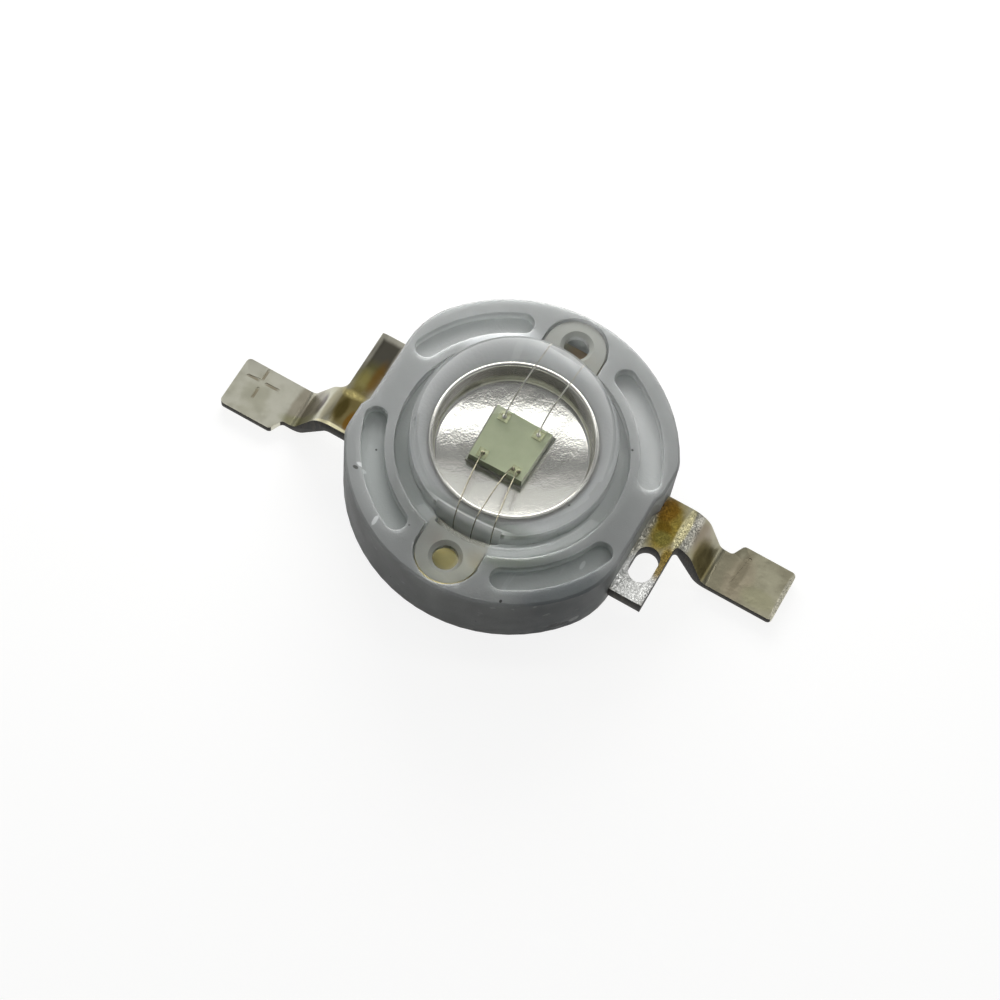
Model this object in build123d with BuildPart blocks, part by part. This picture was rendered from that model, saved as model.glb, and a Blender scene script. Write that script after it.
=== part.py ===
from build123d import *
from math import atan2, sin, tan
import os

# High power LED emitter: a moulded body holds a copper slug with a reflector cup and
# two formed leads. A clear lens snaps into the body over the die, filled with gel.
# Millimetres. Origin at the centre of the slug's flat underside, +Z up.
# +X runs along the leads, towards the cathode.

# Moulded body
body_radius = 4.0
flat_depth = 0.43           # how far each flat, where a lead leaves, is cut in from the round
body_height = 2.0
body_stand_off = 0.72       # underside of the body above the board
body_edge_chamfer = 0.06
body_foot_chamfer = 0.03
flat_corner_radius = 2.0    # blends each flat into the round
ledge_reach = 0.1           # raised ledge beside each lead's root, up to the round
ledge_start, ledge_ramp = 0.62, 0.22
ledge_corner_radius = 0.8
bore_radius = 2.45
bore_depth = 0.5
seat_radius = 2.82          # counterbore that the lens flange drops into
seat_depth = 0.36
pocket_radius = 0.82        # ear pockets, on the Y axis
pocket_wall = 0.10          # left between each ear pocket and the round
well_width = 1.44           # well over each bonding pad, from the pillar to under the ear
well_wall = 0.24            # plastic left between the pillar and the well
sleeve_wall = 0.5           # plastic round the pillar, inside the lens
sleeve_drop = 0.08          # top of that plastic below the cup's rim

# Arc recesses in the top face: centre angle and angular length of each arc
recess_inner_wall = 0.23    # between the lens seat and a recess
recess_outer_wall = 0.39    # between a recess and the round
recess_depth = 0.34
recess_arcs = ((40.5, 47.0), (136.5, 43.0))

# Copper slug with the reflector cup
slug_radius = 2.85
slug_chamfer = 0.12
collar_root_radius = 2.45   # undercut collar that locks the slug in the moulding
collar_rim_radius = 2.65
collar_height = 0.25
pillar_radius = 1.41
cup_rim_above_body = 0.1
cup_rim_radius = 1.34
cup_floor_radius = 0.95
cup_depth = 0.40
cup_edge_radius = 0.12

# Leads
strip_thickness = 0.42
tab_thickness = 0.22        # the tabs are pressed thinner, which spreads them wider
lead_drop = 1.1             # top of the cross strip below the body's top face
tab_drop = 1.28             # top of the tab below the top of the strip
tab_reach = 7.24            # tab ends from the axis
tab_length = 1.44           # the pressed, wider end of the tab
strip_width = 0.87
strip_low = -1.52
neck_low, neck_high = 0.26, 1.32
tab_high = 1.66
tab_corner_radius = 0.12
bend_radius = 0.22          # inside radius of both bends

# Each lead's own forming: the bend's start past the strip, its run, and the crotch by the neck
anode_bend_gap, anode_bend_run, anode_crotch_radius = 0.18, 0.68, 0.20
cathode_bend_gap, cathode_bend_run, cathode_crotch_radius = 0.32, 0.55, 0.12

slot_width = 0.60           # only the cathode lead is slotted
slot_length = 0.97
slot_end_margin = 0.48      # slot's end to the end of the strip

# Inside the body
root_width = 1.9
arm_cover = 0.27            # plastic between the arm and the flat
arm_width = 0.68
pad_width = 1.46
pad_gap = 0.37              # bonding pad to the slug's pillar
pad_overrun = 0.42          # bonding pad past the ear's centre

# Lens
lens_radius = 2.5
lens_equator = 0.34         # centre of the dome above the body's top face
lens_wall = 0.50
lens_clearance = 0.05       # round the flange and the ears
lens_sink = 0.07            # flange's top below the body's top face
hole_radius = 0.31
hole_countersink = 0.10
hole_offset = 0.10          # from the ear's centre, outwards

# Die, its contacts and wires
chip_side = 0.96
chip_thickness = 0.15
chip_shift = (-0.10, 0.13)  # where the die landed, off the cup's centre
attach_thickness = 0.03
attach_margin = 0.03
contact_width = 0.17
contact_thickness = 0.012
contact_inset = 0.12        # middle of each contact from the die's edge
contact_spacing = 0.60

# Bond wires
wire_radius = 0.018
wire_sides = 8              # round enough at this size
ball_radius = 0.045
ball_height = 0.03
wire_rim_gap = 0.14         # wires above the cup's rim
wire_knee = 0.22            # share of the span where a wire stops rising
wire_bend_radius = 0.16
wire_landing = 2.08         # distance of the landings from the axis

# Each wire: side of its contact, ball on it in ball steps, landing on the lead's pad in landing steps
ball_step = 0.05
landing_step = 0.10
anode_wires = ((1, 0, 2.4), (-1, 1, -1), (-1, -1, -5.2))
cathode_wires = ((-1, 0, -3), (1, 0, 3))

# Places worked out from the sizes
body_flat = body_radius - flat_depth
ear_centre = body_radius - pocket_wall - pocket_radius
hole_centre = ear_centre + hole_offset
recess_width = body_radius - seat_radius - recess_inner_wall - recess_outer_wall
recess_radius = seat_radius + recess_inner_wall + recess_width / 2
arm_outer_radius = body_flat - arm_cover
arm_inner_radius = arm_outer_radius - arm_width
pad_tip = ear_centre + pad_overrun
strip_end = body_flat + strip_width
tab_shoulder = tab_reach - tab_length
body_bottom = body_stand_off
body_top = body_bottom + body_height
bore_floor = body_top - bore_depth
seat_level = body_top - seat_depth
lead_top = body_top - lead_drop
lead_bottom = lead_top - strip_thickness
tab_top = lead_top - tab_drop
tab_bottom = tab_top - tab_thickness
flange_top = body_top - lens_sink
dome_centre = body_top + lens_equator
well_start = pillar_radius + well_wall
sleeve_radius = pillar_radius + sleeve_wall
flange_radius = seat_radius - lens_clearance
cavity_radius = lens_radius - lens_wall
contact_offset = chip_side / 2 - contact_inset
cup_rim = body_top + cup_rim_above_body
cup_floor = cup_rim - cup_depth
sleeve_top = cup_rim - sleeve_drop
chip_bottom = cup_floor + attach_thickness
chip_top = chip_bottom + chip_thickness
contact_level = chip_top + contact_thickness

os.makedirs("parts", exist_ok=True)


def save(part, name):
    """Labels a finished piece and writes its STEP file."""
    part.label = name
    export_step(part, f"parts/{name}.step")
    return part


# Slug: base disc, undercut collar, pillar and reflector cup, turned in one piece
with BuildPart() as heat_slug:
    with BuildSketch(Plane.XZ) as slug_section:
        with BuildLine():
            Polyline(
                (0, 0),
                (slug_radius, 0),
                (slug_radius, body_bottom),
                (collar_root_radius, body_bottom),
                (collar_rim_radius, body_bottom + collar_height),
                (pillar_radius, body_bottom + collar_height),
                (pillar_radius, cup_rim),
                (cup_rim_radius, cup_rim),
                (cup_floor_radius, cup_floor),
                (0, cup_floor),
                close=True,
            )
        make_face()
        rim_corner = slug_section.vertices().sort_by_distance((slug_radius, 0, 0))[0]
        chamfer(rim_corner, slug_chamfer)
        floor_corner = slug_section.vertices().sort_by_distance((cup_floor_radius, cup_floor, 0))[0]
        fillet(floor_corner, cup_edge_radius)
    revolve(axis=Axis.Z)
save(heat_slug.part, "heat_slug")


def make_lead(bend_gap, bend_run, crotch_radius, slotted):
    """A lead that leaves the body along +X, with its arm curving round to the pad on +Y."""
    bend_start = strip_end + bend_gap
    slope = atan2(tab_drop, bend_run)
    strip_shift = strip_thickness / sin(slope)      # thickness measured along X, on the slope
    tab_shift = tab_thickness / sin(slope)
    underside_bend_start = bend_start + strip_thickness / tan(slope) - strip_shift
    underside_bend_end = bend_start + (tab_drop + tab_thickness) / tan(slope) - tab_shift
    with BuildPart() as lead:
        # Side view: level strip, then the bend where it gets thinner, then the solder tab
        with BuildSketch(Plane.XZ):
            with BuildLine():
                upper = FilletPolyline(
                    (body_flat, lead_top),
                    (bend_start, lead_top),
                    (bend_start + bend_run, tab_top),
                    (tab_reach, tab_top),
                    radius=(bend_radius + strip_thickness, bend_radius),
                )
                lower = FilletPolyline(
                    (body_flat, lead_bottom),
                    (underside_bend_start, lead_bottom),
                    (underside_bend_end, tab_bottom),
                    (tab_reach, tab_bottom),
                    radius=(bend_radius, bend_radius + tab_thickness),
                )
                Line(upper @ 0, lower @ 0)
                Line(upper @ 1, lower @ 1)
            make_face()
        extrude(amount=body_radius, both=True)
        # Plan view: cross strip with its crotch, neck, shoulder and wider end
        with BuildSketch(Plane.XY) as plan:
            with BuildLine():
                Polyline(
                    (body_flat, strip_low),
                    (strip_end, strip_low),
                    (strip_end, neck_low),
                    (tab_reach, neck_low),
                    (tab_reach, tab_high),
                    (tab_shoulder, tab_high),
                    (tab_shoulder - (tab_high - neck_high) / 2, neck_high),
                    (body_flat, neck_high),
                    close=True,
                )
            make_face()
            crotch = plan.vertices().group_by(Axis.X)[1].sort_by(Axis.Y)[-1]
            fillet(crotch, crotch_radius)
            tab_corners = [corner for group in plan.vertices().group_by(Axis.X)[-3:] for corner in group]
            fillet(tab_corners, tab_corner_radius)
            if slotted:
                slot_middle = strip_low + slot_end_margin + slot_length / 2
                with Locations((body_flat + strip_width / 2, slot_middle)):
                    SlotOverall(slot_length, slot_width, rotation=90, mode=Mode.SUBTRACT)
        extrude(amount=body_top, mode=Mode.INTERSECT)
        # Inside the body: root through the wall, curved arm and bonding pad, all flat
        with BuildSketch(Plane.XY.offset(lead_bottom)):
            with Locations((arm_inner_radius, 0)):
                Rectangle(body_flat - arm_inner_radius, root_width, align=(Align.MIN, Align.CENTER))
            with BuildLine():
                arm = CenterArc((0, 0), (arm_inner_radius + arm_outer_radius) / 2, 0, 90)
            trace(arm, arm_outer_radius - arm_inner_radius)
            with Locations((0, pillar_radius + pad_gap)):
                Rectangle(pad_width, pad_tip - pillar_radius - pad_gap, align=(Align.CENTER, Align.MIN))
        extrude(amount=strip_thickness)
    return lead.part


cathode_lead = make_lead(cathode_bend_gap, cathode_bend_run, cathode_crotch_radius, slotted=True)
save(cathode_lead, "cathode_lead")
anode_lead = make_lead(anode_bend_gap, anode_bend_run, anode_crotch_radius, slotted=False)
anode_lead = anode_lead.rotate(Axis.Z, 180)
save(anode_lead, "anode_lead")


# Body: moulded round the slug and the leads, so both are taken out of it
with BuildPart() as housing:
    with BuildSketch(Plane.XY.offset(body_bottom)) as outline:
        Rectangle(2 * body_flat, 2 * body_radius)
        with PolarLocations(0, 2, start_angle=0):
            with Locations((body_flat, ledge_start)):
                Polygon((0, 0), (ledge_reach, ledge_ramp), (ledge_reach, body_radius), (0, body_radius), align=None)
        Circle(body_radius, mode=Mode.INTERSECT)
        # Furthest from the X axis are the flats' corners with the round, and then the ledges'
        fillet(outline.vertices().sort_by(lambda corner: abs(corner.Y))[-4:-2], ledge_corner_radius)
        fillet(outline.vertices().sort_by(lambda corner: abs(corner.Y))[-2:], flat_corner_radius)
    extrude(amount=body_height)
    top_face = housing.faces().sort_by(Axis.Z)[-1]
    bottom_face = housing.faces().sort_by(Axis.Z)[0]
    chamfer(top_face.edges(), body_edge_chamfer)
    chamfer(bottom_face.edges(), body_foot_chamfer)
    # Lens seat with its ear pockets, and bore
    with BuildSketch(Plane.XY.offset(body_top)):
        Circle(seat_radius)
        SlotCenterToCenter(2 * ear_centre, 2 * pocket_radius, rotation=90)
    extrude(amount=-seat_depth, mode=Mode.SUBTRACT)
    with BuildSketch(Plane.XY.offset(body_top)):
        Circle(bore_radius)
    extrude(amount=-bore_depth, mode=Mode.SUBTRACT)
    # Sleeve round the pillar
    with BuildSketch(Plane.XY.offset(bore_floor)):
        Circle(sleeve_radius)
        Circle(pillar_radius, mode=Mode.SUBTRACT)
    extrude(amount=sleeve_top - bore_floor)
    # Wells over the bonding pads
    with BuildSketch(Plane.XY.offset(lead_top)) as wells:
        with PolarLocations(0, 2, start_angle=90):
            with Locations((well_start, 0)):
                Rectangle(ear_centre - well_start, well_width, align=(Align.MIN, Align.CENTER))
            with Locations((ear_centre, 0)):
                Circle(well_width / 2)
    extrude(amount=body_height, mode=Mode.SUBTRACT)
    # Arc recesses in the top face
    with BuildSketch(Plane.XY.offset(body_top)):
        for middle, length in recess_arcs:
            for turn in (0, 180):
                with BuildLine(mode=Mode.PRIVATE) as centre_line:
                    CenterArc((0, 0), recess_radius, middle + turn - length / 2, length)
                SlotArc(centre_line.wire(), recess_width)
    extrude(amount=-recess_depth, mode=Mode.SUBTRACT)
    add(heat_slug.part, mode=Mode.SUBTRACT)
    add(cathode_lead, mode=Mode.SUBTRACT)
    add(anode_lead, mode=Mode.SUBTRACT)
save(housing.part, "housing")


# Lens: hollow dome on a flange, with an ear and a filling hole on each side
with BuildPart() as lens:
    with BuildSketch(Plane.XZ):
        with BuildLine():
            foot = Line((cavity_radius, seat_level), (flange_radius, seat_level))
            rim = Line(foot @ 1, (flange_radius, flange_top))
            step = Line(rim @ 1, (lens_radius, flange_top))
            side = Line(step @ 1, (lens_radius, dome_centre))
            CenterArc((0, dome_centre), lens_radius, 0, 90)
            crown = Line((0, dome_centre + lens_radius), (0, dome_centre + cavity_radius))
            CenterArc((0, dome_centre), cavity_radius, 0, 90)
            Line((cavity_radius, dome_centre), foot @ 0)
        make_face()
    revolve(axis=Axis.Z)
    with BuildSketch(Plane.XY.offset(seat_level)):
        SlotCenterToCenter(2 * ear_centre, 2 * (pocket_radius - lens_clearance), rotation=90)
        Circle((lens_radius + cavity_radius) / 2, mode=Mode.SUBTRACT)
    extrude(amount=flange_top - seat_level)
    with Locations((0, hole_centre, flange_top), (0, -hole_centre, flange_top)):
        CounterSinkHole(hole_radius, hole_radius + hole_countersink)
save(lens.part, "lens")

# Die on its layer of solder, with its contacts
with BuildPart() as die_attach:
    with BuildSketch(Plane.XY.offset(cup_floor)), Locations(chip_shift):
        Rectangle(chip_side + 2 * attach_margin, chip_side + 2 * attach_margin)
    extrude(amount=attach_thickness)
save(die_attach.part, "die_attach")

with BuildPart() as led_chip:
    with BuildSketch(Plane.XY.offset(chip_bottom)), Locations(chip_shift):
        Rectangle(chip_side, chip_side)
    extrude(amount=chip_thickness)
save(led_chip.part, "led_chip")

with BuildPart() as chip_bond_pads:
    with BuildSketch(Plane.XY.offset(chip_top)), Locations(chip_shift):
        with GridLocations(contact_spacing, 2 * contact_offset, 2, 2):
            Rectangle(contact_width, contact_width)
    extrude(amount=contact_thickness)
save(chip_bond_pads.part, "chip_bond_pads")


def make_wires(routes, shift):
    """Gold wires from the contacts on the +Y side to the pad there, looped over the cup's rim."""
    with BuildPart() as wires:
        for side, ball_steps, landing_steps in routes:
            start_x = side * contact_spacing / 2 + ball_steps * ball_step
            start = Vector(start_x, contact_offset, contact_level) + shift
            end = Vector(landing_steps * landing_step, wire_landing, lead_top)
            span = end - start
            crest = start + span * ((well_start - start.Y) / span.Y)
            knee = start + span * wire_knee
            with BuildLine() as route:
                FilletPolyline(
                    (start.X, start.Y, contact_level + ball_height / 2),
                    (knee.X, knee.Y, cup_rim + wire_rim_gap),
                    (crest.X, crest.Y, cup_rim + wire_rim_gap),
                    (end.X, end.Y, lead_top + ball_height / 2),
                    radius=wire_bend_radius,
                )
            with BuildSketch(Plane(origin=route.line @ 0, z_dir=route.line % 0)):
                RegularPolygon(wire_radius, wire_sides)
            sweep(path=route.wire())
            with BuildSketch(Plane(start), Plane(end)):
                RegularPolygon(ball_radius, wire_sides)
            extrude(amount=ball_height)
    return wires.part


cathode_bond_wires = save(make_wires(cathode_wires, Vector(chip_shift)), "cathode_bond_wires")
anode_bond_wires = make_wires(anode_wires, -Vector(chip_shift)).rotate(Axis.Z, 180)
save(anode_bond_wires, "anode_bond_wires")

# Gel: fills the bore, the wells, the cup and the hollow of the lens
with BuildPart() as silicone_gel:
    with BuildSketch(Plane.XZ):
        with BuildLine():
            Polyline(
                (0, dome_centre + cavity_radius),
                (0, bore_floor),
                (bore_radius, bore_floor),
                (bore_radius, seat_level),
                (cavity_radius, seat_level),
                (cavity_radius, dome_centre),
            )
            CenterArc((0, dome_centre), cavity_radius, 0, 90)
        make_face()
    revolve(axis=Axis.Z)
    with BuildSketch(Plane.XY.offset(lead_top)):
        add(wells.sketch)
    extrude(amount=seat_level - lead_top)
    for held in (housing, heat_slug, die_attach, led_chip, chip_bond_pads):
        add(held.part, mode=Mode.SUBTRACT)
    add(cathode_bond_wires, mode=Mode.SUBTRACT)
    add(anode_bond_wires, mode=Mode.SUBTRACT)
save(silicone_gel.part, "silicone_gel")
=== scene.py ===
import math

import bmesh
import bpy
from mathutils import Matrix, Vector


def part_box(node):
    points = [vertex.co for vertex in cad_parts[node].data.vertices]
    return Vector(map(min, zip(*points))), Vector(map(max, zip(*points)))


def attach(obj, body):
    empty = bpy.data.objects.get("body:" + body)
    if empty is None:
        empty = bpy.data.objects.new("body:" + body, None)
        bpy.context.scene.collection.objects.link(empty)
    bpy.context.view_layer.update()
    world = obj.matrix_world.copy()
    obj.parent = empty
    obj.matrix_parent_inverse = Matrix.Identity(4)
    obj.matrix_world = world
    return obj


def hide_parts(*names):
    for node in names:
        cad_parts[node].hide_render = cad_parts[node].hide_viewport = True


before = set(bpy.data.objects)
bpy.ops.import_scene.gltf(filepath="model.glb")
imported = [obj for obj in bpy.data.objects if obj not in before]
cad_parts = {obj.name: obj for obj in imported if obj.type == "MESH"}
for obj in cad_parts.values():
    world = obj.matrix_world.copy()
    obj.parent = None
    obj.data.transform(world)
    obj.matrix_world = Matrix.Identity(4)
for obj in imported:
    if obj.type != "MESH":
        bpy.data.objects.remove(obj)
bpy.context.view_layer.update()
print("frame loaded")

# Lengths in the dictionaries are millimetres, angles are degrees
mm = 0.001


def toLinear(hexColour):
    parts = [int(hexColour[i:i + 2], 16) / 255 for i in (1, 3, 5)]
    return [p / 12.92 if p <= 0.04045 else ((p + 0.055) / 1.055) ** 2.4 for p in parts] + [1.0]


# Adds a node: settings by keyword, and socket values or incoming links by socket name or number
def addNode(tree, kind, sockets=None, **settings):
    new = tree.nodes.new(kind)
    for key, value in settings.items():
        setattr(new, key, value)
    for key, value in (sockets or {}).items():
        if isinstance(value, bpy.types.NodeSocket):
            tree.links.new(value, new.inputs[key])
        else:
            new.inputs[key].default_value = value
    return new


def newMaterial(name):
    material = bpy.data.materials.new(name)
    material.use_nodes = True
    material.node_tree.nodes.clear()
    return material, material.node_tree


# Object coordinates counted in millimetres, so that every scale below is a real size
def millimetres(tree):
    place = addNode(tree, "ShaderNodeTexCoord")
    return addNode(tree, "ShaderNodeVectorMath", {0: place.outputs["Object"], "Scale": 1 / mm},
                   operation="SCALE").outputs[0]


def addPiece(name, mesh):
    piece = bpy.data.objects.new(name, mesh)
    bpy.context.scene.collection.objects.link(piece)
    return piece


# Applies a piece's modifiers
def settle(piece):
    depsgraph = bpy.context.evaluated_depsgraph_get()
    mesh = bpy.data.meshes.new_from_object(piece.evaluated_get(depsgraph))
    piece.modifiers.clear()
    piece.data = mesh


def combine(piece, tool, operation):
    step = piece.modifiers.new(operation, "BOOLEAN")
    step.object = tool
    step.operation = operation
    step.solver = "EXACT"
    settle(piece)
    bpy.data.objects.remove(tool)


def soften(piece, width, segments=2, angle=30):
    step = piece.modifiers.new("soften", "BEVEL")
    step.width = width * mm
    step.segments = segments
    step.limit_method = "ANGLE"
    step.angle_limit = math.radians(angle)
    settle(piece)


# Smooth shading that keeps flat faces flat
def smooth(piece, angle=35):
    mesh = piece.data
    mesh.polygons.foreach_set("use_smooth", [True] * len(mesh.polygons))
    mesh.set_sharp_from_angle(angle=math.radians(angle))
    step = piece.modifiers.new("flat faces", "WEIGHTED_NORMAL")
    step.keep_sharp = True
    step.weight = 90
    settle(piece)


# A fresh welded copy of a CAD node's mesh, with its flat faces joined up again
def copyNode(node, name):
    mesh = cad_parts[node].data.copy()
    if "custom_normal" in mesh.attributes:
        mesh.attributes.remove(mesh.attributes["custom_normal"])
    work = bmesh.new()
    work.from_mesh(mesh)
    bmesh.ops.remove_doubles(work, verts=work.verts, dist=0.0002 * mm)
    bmesh.ops.dissolve_limit(work, angle_limit=math.radians(0.4), verts=work.verts, edges=work.edges)
    work.to_mesh(mesh)
    work.free()
    mesh.materials.clear()
    return addPiece(name, mesh)


# Turns a closed profile of (radius, height) points about Z
def turned(name, profile, steps=144):
    work = bmesh.new()
    rings = []
    for radius, height in profile:
        count = 1 if radius < 1e-6 else steps
        rings.append([work.verts.new((radius * mm * math.cos(2 * math.pi * i / steps),
                                      radius * mm * math.sin(2 * math.pi * i / steps),
                                      height * mm)) for i in range(count)])
    for low, high in zip(rings, rings[1:]):
        for i in range(steps):
            j = (i + 1) % steps
            corners = [low[i % len(low)], low[j % len(low)], high[j % len(high)], high[i % len(high)]]
            corners = [c for n, c in enumerate(corners) if c not in corners[:n]]
            if len(corners) > 2:
                work.faces.new(corners)
    bmesh.ops.recalc_face_normals(work, faces=work.faces)
    mesh = bpy.data.meshes.new(name)
    work.to_mesh(mesh)
    work.free()
    return addPiece(name, mesh)


# Points along an arc, ends included
def arc(centre, radius, start, end, steps):
    turns = [math.radians(start + (end - start) * i / steps) for i in range(steps + 1)]
    return [(centre[0] + radius * math.cos(t), centre[1] + radius * math.sin(t)) for t in turns]


# Extrudes a closed outline in XY between two heights
def prism(name, outline, low, high):
    work = bmesh.new()
    foot = [work.verts.new((x * mm, y * mm, low * mm)) for x, y in outline]
    head = [work.verts.new((x * mm, y * mm, high * mm)) for x, y in outline]
    work.faces.new(foot[::-1])
    work.faces.new(head)
    for i in range(len(outline)):
        j = (i + 1) % len(outline)
        work.faces.new((foot[i], foot[j], head[j], head[i]))
    mesh = bpy.data.meshes.new(name)
    work.to_mesh(mesh)
    work.free()
    return addPiece(name, mesh)


def give(piece, slotName, replaced, *materials):
    for material in materials:
        piece.data.materials.append(material)
    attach(piece, "root")
    if replaced:
        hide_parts(*replaced)


dome = {"radius": 2.5, "centre": 0.34}      # its centre lies this far above the body's top face

# Levels and radii come from the fixed frame, in millimetres
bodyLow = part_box("housing")[0] / mm
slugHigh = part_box("heat_slug")[1] / mm
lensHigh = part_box("lens")[1] / mm
chipLow, chipHigh = [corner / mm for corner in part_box("led_chip")]
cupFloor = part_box("die_attach")[0].z / mm
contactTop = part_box("chip_bond_pads")[1].z / mm
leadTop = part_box("cathode_lead")[1].z / mm
bodyTop = lensHigh.z - dome["radius"] - dome["centre"]
cupRim = slugHigh.z
print("levels read")

# The camera looks at a point right and up of the middle of the body's top face
view = {"azimuth": 21.12, "elevation": 66.95, "roll": 9.216, "distance": 60.763, "lens": 92.2,
        "right": -0.301, "up": -1.235}


def placeCamera():
    turn, rise, roll = (math.radians(view[key]) for key in ("azimuth", "elevation", "roll"))
    back = Vector((math.sin(turn) * math.cos(rise), -math.cos(turn) * math.cos(rise), math.sin(rise)))
    level = Vector((math.cos(turn), math.sin(turn), 0))
    upright = back.cross(level)
    right = math.cos(roll) * level + math.sin(roll) * upright
    up = -math.sin(roll) * level + math.cos(roll) * upright
    spot = Vector((0, 0, bodyTop)) + back * view["distance"] + right * view["right"] + up * view["up"]
    data = bpy.data.cameras.new("camera")
    data.lens = view["lens"]
    data.sensor_width = 36
    data.clip_start = 0.001
    camera = bpy.data.objects.new("camera", data)
    bpy.context.scene.collection.objects.link(camera)
    facing = Matrix((right, up, back)).transposed()
    camera.matrix_world = Matrix.Translation(spot * mm) @ facing.to_4x4()
    bpy.context.scene.camera = camera


placeCamera()
print("camera placed")

# Panels stand behind the part: turn is degrees from behind towards the left, rise is above the table.
# The near panel gives the fall of light from back to front, but leaves no glare on the dome.
panels = {
    "highPanel": {"turn": 26, "rise": 79, "away": 150, "size": (210, 23), "strength": 2.8, "glare": True},
    "midPanel": {"turn": 24, "rise": 50, "away": 150, "size": (220, 56), "strength": 0.55, "glare": True},
    "nearPanel": {"turn": 26, "rise": 28, "away": 22, "size": (26, 12), "strength": 6.0, "glare": False},
}
# The room by direction: riseFrom and backdropRise are heights and sideFrom and sideTo are widths, all of them
# parts of a unit direction
surroundings = {"low": "#484846", "overhead": "#7a7b7c", "riseFrom": 0.3, "sides": "#98999a", "sideFrom": 0.6,
                "sideTo": 0.8, "backdrop": "#ffffff", "backdropRise": 0.32}
tableLook = {"size": 500, "forLight": "#5c5c5a", "forView": "#7c7c7a", "glow": 0.86}


def placePanel(name, panel):
    turn, rise = math.radians(panel["turn"]), math.radians(panel["rise"])
    out = Vector((-math.sin(turn) * math.cos(rise), math.cos(turn) * math.cos(rise), math.sin(rise)))
    data = bpy.data.lights.new(name, "AREA")
    data.shape = "RECTANGLE"
    data.size = panel["size"][0] * mm
    data.size_y = panel["size"][1] * mm
    data.energy = panel["strength"] * math.pi * data.size * data.size_y
    lamp = bpy.data.objects.new(name, data)
    bpy.context.scene.collection.objects.link(lamp)
    lamp.location = (out * panel["away"] + Vector((0, 0, bodyTop))) * mm
    lamp.rotation_euler = out.to_track_quat("Z", "Y").to_euler()
    lamp.visible_glossy = panel["glare"]
    lamp.visible_camera = False


# What the camera, a reflection or a view through glass meets: 1 for those rays, 0 for the light itself
def seenRays(tree):
    path = addNode(tree, "ShaderNodeLightPath")
    seen = path.outputs["Is Camera Ray"]
    for kind in ("Is Glossy Ray", "Is Transmission Ray"):
        either = addNode(tree, "ShaderNodeMath", {0: seen, 1: path.outputs[kind]}, operation="MAXIMUM")
        seen = either.outputs[0]
    return seen


def makeWorld():
    world = bpy.data.worlds.new("studio")
    bpy.context.scene.world = world
    world.use_nodes = True
    tree = world.node_tree
    tree.nodes.clear()
    place = addNode(tree, "ShaderNodeTexCoord")
    axes = addNode(tree, "ShaderNodeSeparateXYZ", {0: place.outputs["Generated"]})
    rise = addNode(tree, "ShaderNodeMapRange", {"Value": axes.outputs["Z"],
                                                "From Min": surroundings["riseFrom"]},
                   interpolation_type="SMOOTHSTEP")
    room = addNode(tree, "ShaderNodeMix", {0: rise.outputs[0], 6: toLinear(surroundings["low"]),
                                           7: toLinear(surroundings["overhead"])}, data_type="RGBA")
    aside = addNode(tree, "ShaderNodeMath", {0: axes.outputs["X"]}, operation="ABSOLUTE")
    cards = addNode(tree, "ShaderNodeMapRange", {"Value": aside.outputs[0],
                                                 "From Min": surroundings["sideFrom"],
                                                 "From Max": surroundings["sideTo"]},
                    interpolation_type="SMOOTHSTEP")
    room = addNode(tree, "ShaderNodeMix", {0: cards.outputs[0], 6: room.outputs[2],
                                           7: toLinear(surroundings["sides"])}, data_type="RGBA")
    low = addNode(tree, "ShaderNodeMath", {0: axes.outputs["Z"], 1: surroundings["backdropRise"]},
                  operation="LESS_THAN")
    # Straight through the clear lens the white backdrop is seen wherever the ray leaves
    path = addNode(tree, "ShaderNodeLightPath")
    bounced = addNode(tree, "ShaderNodeMath", {0: path.outputs["Glossy Depth"],
                                               1: path.outputs["Diffuse Depth"]}, operation="ADD")
    direct = addNode(tree, "ShaderNodeMath", {0: bounced.outputs[0], 1: 0.5}, operation="LESS_THAN")
    through = addNode(tree, "ShaderNodeMath", {0: direct.outputs[0], 1: path.outputs["Is Transmission Ray"]},
                      operation="MULTIPLY")
    white = addNode(tree, "ShaderNodeMath", {0: low.outputs[0], 1: through.outputs[0]}, operation="MAXIMUM")
    backdrop = addNode(tree, "ShaderNodeMath", {0: white.outputs[0], 1: seenRays(tree)}, operation="MULTIPLY")
    tone = addNode(tree, "ShaderNodeMix", {0: backdrop.outputs[0], 6: room.outputs[2],
                                           7: toLinear(surroundings["backdrop"])}, data_type="RGBA")
    sky = addNode(tree, "ShaderNodeBackground", {"Color": tone.outputs[2], "Strength": 1})
    addNode(tree, "ShaderNodeOutputWorld", {0: sky.outputs[0]})


def makeTable():
    half = tableLook["size"] / 2
    table = prism("table", [(-half, -half), (half, -half), (half, half), (-half, half)], -1, 0)
    material, tree = newMaterial("paleTable")
    forLight = addNode(tree, "ShaderNodeBsdfDiffuse", {"Color": toLinear(tableLook["forLight"])})
    shaded = addNode(tree, "ShaderNodeBsdfDiffuse", {"Color": toLinear(tableLook["forView"])})
    glow = addNode(tree, "ShaderNodeEmission", {"Color": (1, 1, 1, 1), "Strength": tableLook["glow"]})
    forView = addNode(tree, "ShaderNodeAddShader", {0: shaded.outputs[0], 1: glow.outputs[0]})
    mix = addNode(tree, "ShaderNodeMixShader", {0: seenRays(tree), 1: forLight.outputs[0],
                                                2: forView.outputs[0]})
    addNode(tree, "ShaderNodeOutputMaterial", {0: mix.outputs[0]})
    table.data.materials.append(material)


for name, panel in panels.items():
    placePanel(name, panel)
makeWorld()
makeTable()
print("light and table placed")


# 0 up to one coordinate and 1 past the other, along one axis
def ramp(tree, spot, axis, start, end):
    axes = addNode(tree, "ShaderNodeSeparateXYZ", {0: spot})
    return addNode(tree, "ShaderNodeMapRange", {"Value": axes.outputs[axis], "From Min": start,
                                                "From Max": end}, interpolation_type="SMOOTHSTEP").outputs[0]


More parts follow.
